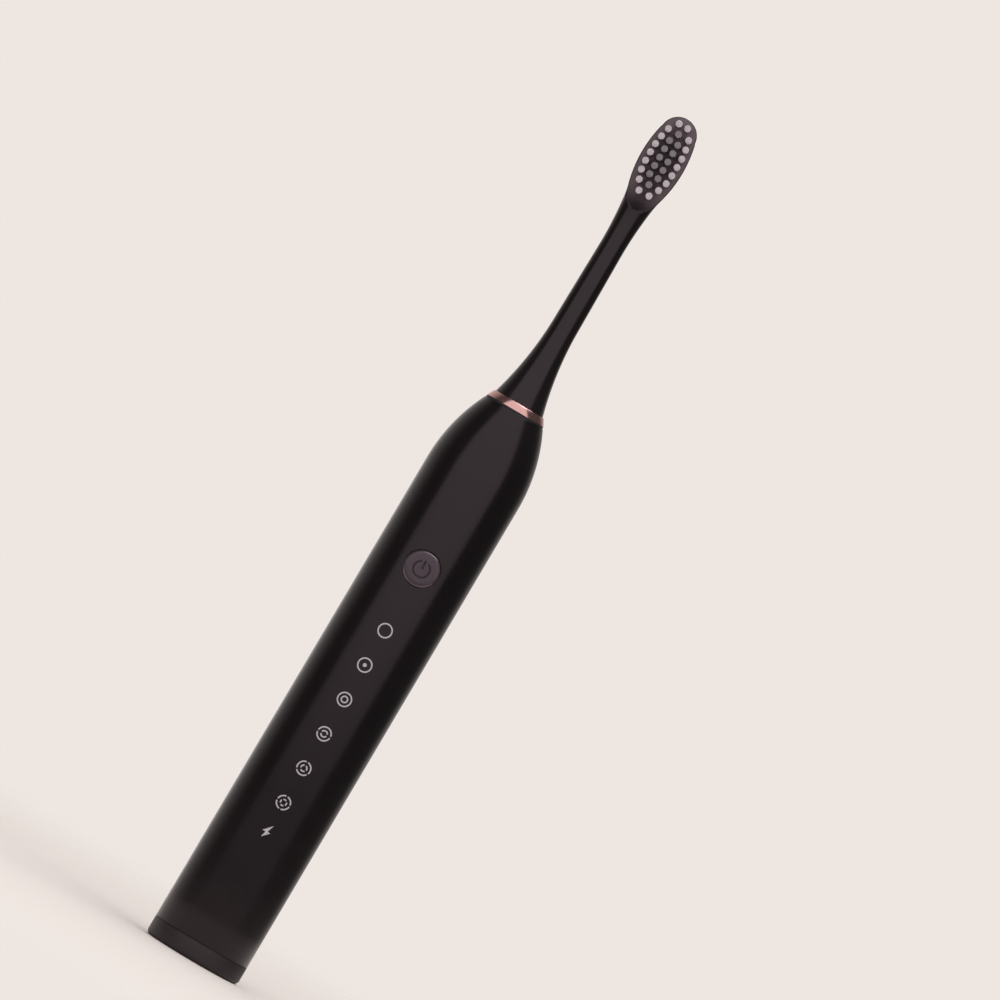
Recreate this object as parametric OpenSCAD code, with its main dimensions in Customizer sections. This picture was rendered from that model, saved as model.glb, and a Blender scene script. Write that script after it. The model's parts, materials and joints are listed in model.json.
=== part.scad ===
// Electric toothbrush with a sonic motor, standing upright on its base.
// The origin is the centre of the base face, +Z runs up the brush and the bristles face -Y.

/* [Handle] */
// Base face to the nose face
handle_length = 159.4; // [150:0.2:195]
// Diameter of the straight grip
handle_d = 26.5; // [26:0.1:34]
// Diameter of the nose face
nose_d = 16.8; // [16.4:0.1:18]
// Height of the rounded shoulder
shoulder_height = 20.4; // [18:0.2:24]
// Wall of the handle shell
wall = 1.8; // [1.6:0.1:2]
// Thickness of the nose above the hollow
nose_wall = 3.4; // [3:0.1:4]

/* [Base and charging] */
// Height of the base cap that shows
cap_height = 5; // [4:0.5:6]
// Radius of the charging socket
socket_r = 4.6; // [4:0.1:5]
// Depth of the charging socket
socket_depth = 11; // [9:0.5:12]
// Wall of the post around the socket
post_wall = 1.4; // [1:0.1:1.5]

/* [Controls] */
// Nose face down to the button's centre
button_drop = 45.6; // [44:0.2:48]
// Diameter of the button
button_d = 9.44; // [8:0.02:11.4]
// Travel of the button
button_travel = 0.5; // [0.3:0.05:0.5]
// Button's centre down to the first mode mark
first_mark_drop = 17.9; // [14:0.1:20]
// Spacing of the mode marks
mark_pitch = 10; // [8:0.1:11]
// Diameter of a mode mark
mark_d = 3.9; // [3.4:0.1:5]
// Width of the lines in a mark
mark_line = 0.36; // [0.3:0.02:0.6]
// Last mode mark down to the charge mark
charge_mark_drop = 8.2; // [7:0.1:10]

/* [Battery and motor] */
// Diameter of the battery
battery_d = 14; // [10:0.1:14.5]
// Length of the battery
battery_length = 50; // [44:0.5:50]
// Diameter of the motor
motor_d = 18; // [16:0.1:18.4]
// Length of the motor can
motor_length = 27; // [26:0.5:28]
// Diameter of the drive shaft
shaft_d = 3.4; // [2.8:0.05:3.9]

/* [Brush head] */
// Gap between the nose face and the head
head_gap = 0.5; // [0.3:0.05:0.8]
// Length of the head, from the ring's foot to the tip
head_length = 85.1; // [82:0.1:92]
// Height of the metallic ring
ring_height = 2; // [1.5:0.1:3]
// Height from the ring's foot to the end of the flared foot of the neck
flare_height = 26.1; // [25:0.1:30]
// Diameter of the neck above the flare
neck_d = 7; // [6.8:0.1:8]
// Diameter of the neck at its narrowest
waist_d = 6.4; // [6.2:0.1:7]
// Width of the bristle plate
plate_width = 11.7; // [11:0.1:14]
// Tip down to the plate's widest place
plate_wide_drop = 12.5; // [11:0.1:13]
// Radius of the plate's curved sides
plate_side_r = 33; // [28:0.5:40]

/* [Bristles] */
// Diameter of a tuft
tuft_d = 1.7; // [1.4:0.05:1.8]
// Free length of the bristles
bristle_length = 9.8; // [8:0.1:11]
// Spacing of the tuft rows
row_pitch = 2.43; // [2.3:0.01:2.6]
// Tip down to the first row
first_row_drop = 2.3; // [2.2:0.05:2.6]

/* [Fits] */
// Running clearance of the shaft in its bearings and in the head's socket, on the radius
shaft_clearance = 0.03; // [0.01:0.01:0.08]
// Clearance of the button in its hole, on the radius
button_clearance = 0.08; // [0.03:0.01:0.1]
// Clearance of parts that slip into each other in assembly
slip = 0.05; // [0.02:0.01:0.1]

/* [Hidden] */
$fn = 96;
MODES = 6;

// Handle
handle_r = handle_d / 2;
bore_r = handle_r - wall;
shoulder_z = handle_length - shoulder_height;
shoulder_drop = handle_r - nose_d / 2;
shoulder_r = (shoulder_height * shoulder_height + shoulder_drop * shoulder_drop) / (2 * shoulder_drop);
hollow_top = handle_length - nose_wall;
function shoulder_at(z, inset = 0) = handle_r - shoulder_r
    + sqrt(pow(shoulder_r - inset, 2) - pow(max(z - shoulder_z, 0), 2));

// Base cap: the plug goes up into the shell, the post surrounds the socket
edge_r = 1.2;
floor_t = 2.2;
plug_top = cap_height + 7;
plug_wall = 1.6;
plug_in_r = bore_r - slip - plug_wall;
post_r = socket_r + post_wall;
post_top = socket_depth + post_wall;
seal_r = 0.5;
groove_z = cap_height + 3.5;
groove_depth = 2 * seal_r + 0.04;
groove_height = 2 * seal_r + 0.4;
ferrite_t = 1;
ferrite_top = max(post_top, plug_top) + 0.1 + ferrite_t;

// Chassis, with stops under and over the battery
chassis_r = bore_r - 0.2;
chassis_wall = 1.1;
chassis_in_r = chassis_r - chassis_wall;
chassis_z0 = ferrite_top + 0.4;
plate_t = 1.5;
battery_r = battery_d / 2;
battery_y = chassis_in_r - 0.25 - battery_r;
battery_z0 = chassis_z0 + 8;
battery_z1 = battery_z0 + battery_length;
tab_t = 0.3;
stop_gap = 1.5;
strip_w = 1.2;
strip_t = 0.3;
strip_gap = 0.2;
coil_lead_y = -2;
motor_lead_x = 5;
motor_lead_y = 5;

// Circuit board behind the front wall
board_t = 1.2;
board_front = bore_r - 3.85;
board_back = board_front - board_t;
coil_lead_x = min(plug_in_r - 2.75,
    sqrt(chassis_in_r * chassis_in_r - board_back * board_back) - strip_w / 2 - strip_gap);
board_half = sqrt(bore_r * bore_r - board_front * board_front) - 0.25;
button_z = handle_length - button_drop;
mark_z = [for (i = [0:MODES - 1]) button_z - first_mark_drop - i * mark_pitch];
charge_z = mark_z[MODES - 1] - charge_mark_drop;
board_z0 = charge_z - 7;
switch_size = 5.2;
board_z1 = button_z + switch_size / 2 + 1;
board_screw_z = [mark_z[2] + mark_pitch / 2, (button_z + mark_z[0]) / 2 + 1];
screw_r = 0.95;
led_t = 0.7;
guide_r = mark_d / 2 - 0.05;
mark_depth = 0.45;

// Button and switch; distances are measured forward of the axis
button_r = button_d / 2;
button_hole_r = button_r + button_clearance;
button_face = handle_r + 0.3;
flange_r = button_r + 0.9;
flange_t = 0.6;
seat = bore_r - 0.55;
pocket_r = flange_r + 0.5;
boss_r = pocket_r + 1.1;
button_seal_r = 0.4;
button_groove_drop = 1.35;
button_groove_w = 0.9;
button_edge_r = 0.5;
stem_r = 1.4;
symbol_d = 4.6;
symbol_line = 0.38;
symbol_depth = 0.15;
switch_t = 1.6;
switch_front = board_front + switch_t;
plunger_r = 1.2;
plunger_tip = switch_front + button_travel + 0.1;
plunger_length = 1.5;

// Motor
motor_r = motor_d / 2;
can_t = 0.6;
can_in_r = motor_r - can_t;
motor_z1 = handle_length - 12.4;
motor_z0 = motor_z1 - motor_length;
cradle_z1 = motor_z0 + 6;
cradle_z0 = board_z1 + 0.4;
shaft_r = shaft_d / 2;
bearing_in_r = shaft_r + shaft_clearance;
bearing_r = bearing_in_r + 1.27;
hub_r = bearing_r + 0.6;
rotor_r = 3.4;
magnet_r = 4.4;
pole_r = 4.8;
yoke_r = can_in_r - 0.9;
stator_z0 = motor_z0 + 7;
stator_z1 = motor_z1 - 7;
pole_half = 2.2;
coil_half = 3.3;
cushion_t = 1.9;
nose_frame_t = 1.9;

// Brush head
head_z = handle_length + head_gap;
tip_z = head_z + head_length;
ring_top = head_z + ring_height;
ring_foot_r = nose_d / 2 - 0.2;
ring_top_r = ring_foot_r - 1.05;
spigot_r = ring_top_r - 0.95;
foot_r = ring_top_r - 0.3;
flare_top = head_z + flare_height;
flare_fall = foot_r - neck_d / 2;
flare_rise = flare_top - ring_top;
flare_r = (flare_rise * flare_rise + flare_fall * flare_fall) / (2 * flare_fall);
waist_z = tip_z - 37.4;
upper_r = 100;
insert_r = shaft_r + shaft_clearance + 0.87;
insert_z0 = head_z + 2.2;
insert_z1 = head_z + 24.2;
shaft_top = insert_z1 - 1;
flat_z0 = head_z + 6;
flat_depth = 0.5;
grip_half = 0.8;
cup_r = spigot_r - 1.6;
cup_top = head_z + 2;
seal_hole_r = 4;
seal_flange_r = ring_foot_r;

// Bristle plate; its front is flat and its back is rounded
plate_front = 2;
plate_back = 3.1;
plate_wide_z = tip_z - plate_wide_drop;
side_x = plate_side_r - plate_width / 2;
tip_r = (plate_side_r * plate_side_r - side_x * side_x - plate_wide_drop * plate_wide_drop)
    / (2 * (plate_side_r - plate_wide_drop));
tip_circle_z = tip_z - tip_r;
scoop_r = 6;
scoop_z = tip_z - 22.1;
hole_depth = 2.2;
anchor_t = 0.6;

// Half-spacing of the outer pair in each row, from the tip down, as shares of the plate's half width
OUTER = [0.21, 0.50, 0.60, 0.655, 0.66, 0.655, 0.615, 0.48, 0.25];
INNER_HALF = 1.2;
function row_z(i) = tip_z - first_row_drop - i * row_pitch;
outer_places = [for (i = [0:8], s = [-1, 1]) [s * OUTER[i] * plate_width / 2, row_z(i)]];
inner_places = [for (i = [1:7]) each (i == 1 || i == 7) ? [[0, row_z(i)]]
    : [[-INNER_HALF, row_z(i)], [INNER_HALF, row_z(i)]]];

// Turns a flat drawing in X and Z into a solid between two distances in front of the axis
module forward(from, to) {
    translate([0, -from, 0]) rotate([90, 0, 0]) linear_extrude(to - from) children();
}

// Turns a flat drawing in Y and Z into a solid of a given width, centred on the axis
module across(width) {
    translate([-width / 2, 0, 0]) rotate([90, 0, 90]) linear_extrude(width) children();
}

// A round bar along Y, between two distances in front of the axis
module forward_bar(x, z, r, from, to) {
    translate([x, -from, z]) rotate([90, 0, 0]) cylinder(r = r, h = to - from);
}

// A block given by its lowest and highest corners
module block(low, high) {
    translate(low) cube(high - low);
}

// A tube or ring around the axis
module tube(r_in, r_out, z0, z1) {
    rotate_extrude() translate([r_in, z0]) square([r_out - r_in, z1 - z0]);
}

// A pair of flat tinned strips that run up or down and then forward to the back of the board
module strips(x, y, from_z, board_z) {
    half = strip_w / 2;
    for (s = [-1, 1]) translate([s * x, 0, 0]) {
        block([-half, y, min(from_z, board_z)], [half, y + strip_t, max(from_z, board_z)]);
        block([-half, -board_back, board_z - strip_t], [half, y + strip_t, board_z]);
    }
}

// Slots for a pair of strips through a wall between two heights
module strip_slots(x, y, z0, z1) {
    half = strip_w / 2 + strip_gap;
    for (s = [-1, 1]) translate([s * x, 0, 0])
        block([-half, y - strip_gap, z0], [half, y + strip_t + strip_gap, z1]);
}

// Half outline of the handle, moved inwards by an inset
module handle_outline(inset, z0, z1) {
    translate([0, z0]) square([handle_r - inset, shoulder_z - z0]);
    intersection() {
        translate([handle_r - shoulder_r, shoulder_z]) circle(r = shoulder_r - inset, $fn = 360);
        translate([0, shoulder_z]) square([handle_r, z1 - shoulder_z]);
    }
}

module ring_2d(outer_d, width) {
    difference() {
        circle(d = outer_d);
        circle(d = outer_d - 2 * width);
    }
}

// Ring cut by gaps at equal angles, the first at the angle start
module cut_ring_2d(outer_d, gaps, start) {
    difference() {
        ring_2d(outer_d, mark_line);
        for (i = [0:gaps - 1]) rotate(start + i * 360 / gaps) translate([0, -mark_line * 0.6])
            square([outer_d, mark_line * 1.2]);
    }
}

// Mark for each cleaning mode, 0 at the top
module mark_2d(i) {
    if (i < 3) ring_2d(mark_d, mark_line);
    if (i == 1) circle(d = mark_d * 0.26);
    if (i == 2) ring_2d(mark_d / 2, mark_line);
    if (i > 2) cut_ring_2d(mark_d, i - 1, i == 4 ? 90 : 0);
    if (i > 2) cut_ring_2d(mark_d / 2, i - 1, i == 4 ? 90 : i == 5 ? 45 : 0);
}

module bolt_2d() {
    scale(mark_d / 3.9)
        polygon([[0.95, 1.95], [-1.1, -0.3], [-0.2, -0.3], [-0.6, -1.95], [1.1, -0.2], [0.3, -0.05]]);
}

// Solid that a mark takes up in the handle's surface
module mark_solid(reach) {
    difference() {
        intersection() {
            forward(handle_r - 2, handle_r + 2) children();
            cylinder(r = handle_r + reach, h = handle_length);
        }
        cylinder(r = handle_r - mark_depth, h = handle_length);
    }
}

module mode_light(i) {
    color("silver") mark_solid(0) translate([0, mark_z[i]]) mark_2d(i);
}

module charge_light() {
    color("silver") mark_solid(0) translate([0, charge_z]) bolt_2d();
}

module handle_shell() {
    color([0.16, 0.15, 0.16]) difference() {
        union() {
            difference() {
                rotate_extrude() handle_outline(0, cap_height, handle_length);
                rotate_extrude() handle_outline(wall, cap_height - 1, hollow_top);
            }
            intersection() {
                forward_bar(0, button_z, boss_r, seat, handle_r);
                cylinder(r = handle_r - wall / 2, h = handle_length);
            }
        }
        translate([0, 0, hollow_top - 1]) cylinder(r = seal_hole_r, h = nose_wall + 2);
        forward_bar(0, button_z, button_hole_r, seat - 1, handle_r + 1);
        forward_bar(0, button_z, pocket_r, seat - 3, seat);
        for (i = [0:MODES - 1]) mark_solid(1) translate([0, mark_z[i]]) mark_2d(i);
        mark_solid(1) translate([0, charge_z]) bolt_2d();
    }
}

module base_cap() {
    color([0.13, 0.12, 0.13]) rotate_extrude() difference() {
        union() {
            translate([0, edge_r]) square([handle_r, cap_height - edge_r]);
            square([handle_r - edge_r, cap_height]);
            translate([handle_r - edge_r, edge_r]) circle(r = edge_r);
            square([bore_r - slip, plug_top]);
            square([post_r, post_top]);
        }
        translate([post_r, floor_t]) square([plug_in_r - post_r, plug_top + post_top]);
        translate([bore_r - slip - groove_depth, groove_z - groove_height / 2])
            square([groove_depth + 1, groove_height]);
        translate([-1, -1]) square([socket_r + 1, socket_depth + 1]);
    }
}

module base_seal() {
    color("dimgray") rotate_extrude() translate([bore_r - slip - seal_r, groove_z]) circle(r = seal_r);
}

module coil_bobbin() {
    flange = plug_in_r - 0.3;
    z0 = floor_t + 0.2;
    z1 = plug_top - 1.4;
    color("ivory") {
        tube(post_r + slip, post_r + 0.75, z0, z1);
        tube(post_r + slip, flange, z0, z0 + 0.7);
        tube(post_r + slip, flange, z1 - 0.7, z1);
    }
}

module charge_coil() {
    color("peru") tube(post_r + 0.8, plug_in_r - 0.7, floor_t + 0.95, plug_top - 2.15);
}

module ferrite_disc() {
    color("dimgray") translate([0, 0, ferrite_top - ferrite_t]) cylinder(r = post_r + 0.5, h = ferrite_t);
}

module coil_leads() {
    color("peru") strips(coil_lead_x, coil_lead_y, plug_top - 1.4, board_z0 + 2.5);
}

// Tray that carries the battery, the board and the rear of the motor
module chassis() {
    color("gainsboro") difference() {
        union() {
            difference() {
                translate([0, 0, chassis_z0]) cylinder(r = chassis_r, h = cradle_z0 - chassis_z0);
                translate([0, 0, chassis_z0 - 1]) cylinder(r = chassis_in_r, h = cradle_z0 - chassis_z0 + 2);
            }
            for (z = [chassis_z0, battery_z0 - stop_gap - plate_t, battery_z1 + stop_gap])
                translate([0, 0, z]) cylinder(r = chassis_r, h = plate_t);
            for (z = board_screw_z) translate([0, chassis_in_r + 0.5, z]) rotate([90, 0, 0])
                cylinder(r = 2.2, h = chassis_in_r + 0.5 + board_back);
            translate([0, 0, cradle_z0]) cylinder(r = chassis_r, h = cradle_z1 - cradle_z0);
        }
        block([-handle_r, -handle_r, chassis_z0 - 1], [handle_r, -board_back, button_z + boss_r + 0.4]);
        translate([0, 0, motor_z0]) cylinder(r = motor_r + slip, h = motor_length);
        for (z = board_screw_z) forward_bar(0, z, screw_r, board_back - 6, board_back + 1);
        strip_slots(coil_lead_x, coil_lead_y, chassis_z0 - 1, battery_z0 - 1);
        strip_slots(motor_lead_x, motor_lead_y, cradle_z0 - 1, motor_z0 + 1);
    }
}

module battery() {
    color("royalblue") translate([0, battery_y, battery_z0]) {
        cylinder(r = battery_r, h = battery_length - 1);
        cylinder(r = battery_r * 0.4, h = battery_length);
    }
}

// Spot-welded strip with a leg that is soldered to the back of the board
module battery_tab_top() {
    color("silver") union() {
        translate([0, battery_y, battery_z1]) cylinder(r = battery_r * 0.4, h = tab_t);
        block([-1.5, -board_back, battery_z1], [1.5, battery_y, battery_z1 + tab_t]);
    }
}

module battery_tab_bottom() {
    leg_y = -board_back + 0.3;
    color("silver") union() {
        translate([0, battery_y, battery_z0 - tab_t]) cylinder(r = battery_r * 0.7, h = tab_t);
        block([-1.5, leg_y, battery_z0 - tab_t], [1.5, battery_y, battery_z0]);
        block([-1.5, leg_y, battery_z0 - tab_t], [1.5, leg_y + tab_t, board_z0 + 3]);
        block([-1.5, -board_back, board_z0 + 2], [1.5, leg_y + tab_t, board_z0 + 3]);
    }
}

module battery_pad() {
    color("dimgray") block([-3, -board_back, max(battery_z0 + battery_length * 0.4, board_z0 + 3.5)],
        [3, battery_y - battery_r, battery_z0 + battery_length * 0.9]);
}

module circuit_board() {
    color("darkgreen") difference() {
        block([-board_half, -board_front, board_z0], [board_half, -board_back, board_z1]);
        for (z = board_screw_z) forward_bar(0, z, screw_r + 0.15, board_back - 1, board_front + 1);
    }
}

module controller_chip() {
    z = mark_z[0] + 2.6;
    color([0.1, 0.1, 0.1]) block([-3.5, -board_back, z - 3.5], [3.5, -board_back + 0.9, z + 3.5]);
}

module power_chip() {
    z = board_screw_z[0] + 7.6;
    color([0.1, 0.1, 0.1]) block([-2, -board_back, z - 2.5], [2, -board_back + 1.1, z + 2.5]);
}

module led(z) {
    block([-0.6, -board_front - led_t, z - 1], [0.6, -board_front, z + 1]);
}

module mode_leds() {
    color("white") for (z = mark_z) led(z);
}

module charge_led() {
    color("orange") led(charge_z);
}

// Clear pillars that carry each light to its mark, joined by a rib
module light_guide() {
    foot = board_front + led_t + 0.2;
    head = sqrt(bore_r * bore_r - guide_r * guide_r) - 0.1;
    color("lightcyan") {
        for (z = concat(mark_z, [charge_z])) forward_bar(0, z, guide_r, foot, head);
        block([-1, -foot - 1.4, charge_z], [1, -foot - 0.6, mark_z[0]]);
    }
}

module board_screws() {
    color("silver") for (z = board_screw_z) {
        forward_bar(0, z, screw_r, board_back - 5, board_front + 0.1);
        forward_bar(0, z, 1.9, board_front, board_front + 1.2);
    }
}

module button_cap() {
    groove = button_r - 2 * button_seal_r + button_clearance - 0.05;
    groove_y = handle_r - button_groove_drop;
    color([0.33, 0.3, 0.32]) difference() {
        translate([0, 0, button_z]) rotate([90, 0, 0]) {
            rotate_extrude() difference() {
                union() {
                    square([button_r, button_face - button_edge_r]);
                    square([button_r - button_edge_r, button_face]);
                    translate([button_r - button_edge_r, button_face - button_edge_r])
                        circle(r = button_edge_r);
                    square([flange_r, seat - slip]);
                }
                translate([groove, groove_y - button_groove_w / 2]) square([2, button_groove_w]);
                translate([-1, -1]) square([flange_r + 2, seat - slip - flange_t + 1]);
            }
            translate([0, 0, plunger_tip])
                cylinder(r = stem_r, h = seat - slip - flange_t - plunger_tip + 0.1);
        }
        forward(button_face - symbol_depth, button_face + 1) translate([0, button_z]) power_symbol_2d();
    }
}

module power_symbol_2d() {
    difference() {
        ring_2d(symbol_d, symbol_line);
        translate([-symbol_d * 0.2, 0]) square([symbol_d * 0.4, symbol_d]);
    }
    translate([-symbol_line / 2, 0.1]) square([symbol_line, symbol_d / 2]);
}

module button_seal() {
    color("dimgray") translate([0, button_groove_drop - handle_r, button_z]) rotate([90, 0, 0])
        rotate_extrude() translate([button_hole_r - 0.03 - button_seal_r, 0]) circle(r = button_seal_r);
}

module switch_body() {
    half = switch_size / 2;
    color("silver") difference() {
        block([-half, -switch_front, button_z - half], [half, -board_front, button_z + half]);
        forward_bar(0, button_z, plunger_r + slip, board_front + 0.15, switch_front + 1);
    }
}

module switch_plunger() {
    color("gold") forward_bar(0, button_z, plunger_r, plunger_tip - plunger_length, plunger_tip);
}

module motor_can() {
    color("lightgray") tube(can_in_r, motor_r, motor_z0, motor_z1);
}

module motor_rear_cap() {
    color("gray") difference() {
        union() {
            translate([0, 0, motor_z0]) cylinder(r = can_in_r, h = 1.6);
            translate([0, 0, motor_z0]) cylinder(r = hub_r, h = 4);
        }
        translate([0, 0, motor_z0 + 0.8]) cylinder(r = bearing_r, h = 4);
    }
}

module motor_front_cap() {
    color("gray") difference() {
        union() {
            translate([0, 0, motor_z1 - 1.6]) cylinder(r = can_in_r, h = 1.6);
            translate([0, 0, motor_z1 - 4]) cylinder(r = hub_r, h = 5.5);
        }
        translate([0, 0, motor_z1 - 5]) cylinder(r = bearing_r, h = 8);
    }
}

module rear_bearing() {
    color("darkgoldenrod") tube(bearing_in_r, bearing_r, motor_z0 + 0.8, motor_z0 + 4);
}

module front_bearing() {
    color("darkgoldenrod") tube(bearing_in_r, bearing_r, motor_z1 - 4, motor_z1 + 1.5);
}

// Ring with two inward poles
module stator_core() {
    color("dimgray") union() {
        tube(yoke_r, can_in_r, stator_z0, stator_z1);
        difference() {
            block([-yoke_r - 0.3, -pole_half, stator_z0], [yoke_r + 0.3, pole_half, stator_z1]);
            translate([0, 0, stator_z0 - 1]) cylinder(r = pole_r, h = motor_length);
        }
    }
}

module stator_coils() {
    far = sqrt(yoke_r * yoke_r - coil_half * coil_half) - 0.05;
    color("peru") for (s = [0, 180]) rotate(s) difference() {
        block([pole_r + 0.4, -coil_half, stator_z0 - 1.5], [far, coil_half, stator_z1 + 1.5]);
        block([0, -pole_half - slip, stator_z0 - slip], [far + 1, pole_half + slip, stator_z1 + slip]);
    }
}

module motor_leads() {
    color("peru") strips(motor_lead_x, motor_lead_y, motor_z0, board_z1 - 9);
}

module rotor_core() {
    color("gray") tube(shaft_r, rotor_r, motor_z0 + 6, motor_z1 - 6);
}

// Four arc magnets, two towards each pole
module rotor_magnets() {
    color([0.3, 0.3, 0.33]) for (a = [20, 160, 200, 340]) rotate(a - 15) rotate_extrude(angle = 30)
        translate([rotor_r, stator_z0]) square([magnet_r - rotor_r, stator_z1 - stator_z0]);
}

// Shaft with a flat that keys the brush head
module drive_shaft() {
    color("silver") difference() {
        translate([0, 0, motor_z0 + 1]) cylinder(r = shaft_r, h = shaft_top - motor_z0 - 1);
        block([-shaft_d, shaft_r - flat_depth, flat_z0], [shaft_d, shaft_d, shaft_top + 1]);
    }
}

module motor_cushion() {
    color([0.2, 0.2, 0.2]) tube(hub_r + 0.1, motor_r - 0.5, motor_z1, motor_z1 + cushion_t);
}

// Stiff ring and sleeve that carry the motor's push to the nose
module nose_frame() {
    z0 = motor_z1 + cushion_t;
    color("gainsboro") {
        tube(hub_r + 0.6, shoulder_at(z0 + nose_frame_t, wall) - 0.3, z0, z0 + nose_frame_t);
        tube(hub_r + 0.6, hub_r + 2, z0, hollow_top);
    }
}

// Rubber bellows that closes the nose around the shaft, with a flange that fills the gap under the head
module shaft_seal() {
    flange_top = head_z - 0.08;
    color([0.2, 0.2, 0.2]) rotate_extrude() polygon([[bearing_in_r, hollow_top + 0.8],
        [seal_hole_r, hollow_top], [seal_hole_r, handle_length], [seal_flange_r, handle_length],
        [seal_flange_r, flange_top], [seal_hole_r - 0.5, flange_top], [bearing_in_r + 1, flange_top + 0.1],
        [bearing_in_r + 0.6, handle_length + 1.9], [bearing_in_r, handle_length + 1.9]]);
}

// Outline of the bristle plate in X and Z
module plate_2d() {
    join_z = plate_wide_z + (tip_circle_z - plate_wide_z) * plate_side_r / (plate_side_r - tip_r);
    intersection() {
        translate([-side_x, plate_wide_z]) circle(r = plate_side_r, $fn = 360);
        translate([side_x, plate_wide_z]) circle(r = plate_side_r, $fn = 360);
        translate([-plate_width, plate_wide_z - 9.4]) square([2 * plate_width, join_z - plate_wide_z + 9.4]);
    }
    translate([0, tip_circle_z]) circle(r = tip_r);
}

// Half outline of the neck: flared foot, waist and widening top
module neck_2d() {
    neck_top = tip_z - 21;
    difference() {
        translate([0, ring_top]) square([foot_r, flare_rise]);
        translate([neck_d / 2 + flare_r, flare_top]) circle(r = flare_r, $fn = 360);
    }
    polygon([[0, flare_top], [neck_d / 2, flare_top], [waist_d / 2, waist_z], [0, waist_z]]);
    difference() {
        translate([0, waist_z]) square([waist_d, neck_top - waist_z]);
        translate([waist_d / 2 + upper_r, waist_z]) circle(r = upper_r, $fn = 720);
    }
}

module head_body() {
    back_r = 8.5;
    belly_r = 400;
    color([0.16, 0.15, 0.16]) difference() {
        intersection() {
            union() {
                rotate(35) rotate_extrude() neck_2d();
                translate([0, 0, head_z + 0.2]) cylinder(r = spigot_r, h = ring_height);
                intersection() {
                    forward(-plate_back - 1, plate_front + 0.5) plate_2d();
                    translate([0, plate_back - back_r, plate_wide_z - 20]) cylinder(r = back_r, h = 60);
                }
            }
            union() {
                translate([-20, neck_d / 2 - belly_r, waist_z - 2]) rotate([0, 90, 0])
                    cylinder(r = belly_r, h = 40, $fn = 720);
                block([-20, -20, head_z], [20, 20, waist_z - 2]);
            }
        }
        across(40) {
            translate([-plate_front - 20, scoop_z]) square([20, tip_z]);
            translate([-plate_front - scoop_r, scoop_z]) circle(r = scoop_r);
        }
        translate([0, 0, head_z - 1]) cylinder(r = cup_r, h = cup_top - head_z + 1);
        translate([0, 0, cup_top - 1]) cylinder(r = insert_r, h = insert_z1 + 1 - cup_top + slip);
        for (p = concat(outer_places, inner_places))
            forward_bar(p[0], p[1], tuft_d / 2, plate_front - hole_depth, plate_front + 1);
    }
}

module head_ring() {
    color([0.85, 0.6, 0.55]) difference() {
        translate([0, 0, head_z]) cylinder(r1 = ring_foot_r, r2 = ring_top_r, h = ring_height);
        translate([0, 0, head_z - 1]) cylinder(r = spigot_r, h = ring_height + 2);
    }
}

// Hard socket with a flat that fits the shaft's flat
module head_insert() {
    clear = shaft_clearance;
    color("ivory") difference() {
        translate([0, 0, insert_z0]) cylinder(r = insert_r, h = insert_z1 - insert_z0);
        difference() {
            translate([0, 0, insert_z0 - 1])
                cylinder(r = shaft_r + clear, h = shaft_top + 0.4 - insert_z0 + 1);
            block([-shaft_d, shaft_r - flat_depth + clear, flat_z0 + 1], [shaft_d, shaft_d, tip_z]);
        }
        grip_window(0);
    }
}

// Window in the socket's front for the grip spring, made smaller all round by a gap
module grip_window(gap) {
    half = grip_half - gap;
    block([-half, -insert_r, insert_z0 + 6 + gap], [half, -shaft_r, insert_z0 + 16 - gap]);
}

// Bent strip of spring steel that presses on the shaft
module grip_spring() {
    color("silver") difference() {
        intersection() {
            grip_window(slip);
            tube(shaft_r + shaft_clearance, insert_r - 0.1, insert_z0, insert_z1);
        }
        block([-grip_half, -insert_r, insert_z0 + 9], [grip_half, -shaft_r - 0.35, insert_z0 + 13]);
    }
}

module tufts(places) {
    for (p = places)
        forward_bar(p[0], p[1], tuft_d / 2, plate_front - hole_depth + anchor_t,
            plate_front + bristle_length);
}

module outer_tufts() {
    color("gainsboro") tufts(outer_places);
}

module inner_tufts() {
    color("gray") tufts(inner_places);
}

// Small brass blades that hold the folded bristles in their holes
module tuft_anchors() {
    color("goldenrod") for (p = concat(outer_places, inner_places))
        forward_bar(p[0], p[1], tuft_d / 2, plate_front - hole_depth, plate_front - hole_depth + anchor_t);
}

handle_shell();
base_cap();
base_seal();
coil_bobbin();
charge_coil();
ferrite_disc();
coil_leads();
chassis();
battery();
battery_tab_top();
battery_tab_bottom();
battery_pad();
circuit_board();
controller_chip();
power_chip();
mode_leds();
charge_led();
light_guide();
board_screws();
for (i = [0:MODES - 1]) mode_light(i);
charge_light();
button_cap();
button_seal();
switch_body();
switch_plunger();
motor_can();
motor_rear_cap();
motor_front_cap();
rear_bearing();
front_bearing();
stator_core();
stator_coils();
motor_leads();
rotor_core();
rotor_magnets();
drive_shaft();
motor_cushion();
nose_frame();
shaft_seal();
head_body();
head_ring();
head_insert();
grip_spring();
outer_tufts();
inner_tufts();
tuft_anchors();
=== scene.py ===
import math
import json
import random
import bmesh
import bpy
from mathutils import Matrix, Vector


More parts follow.
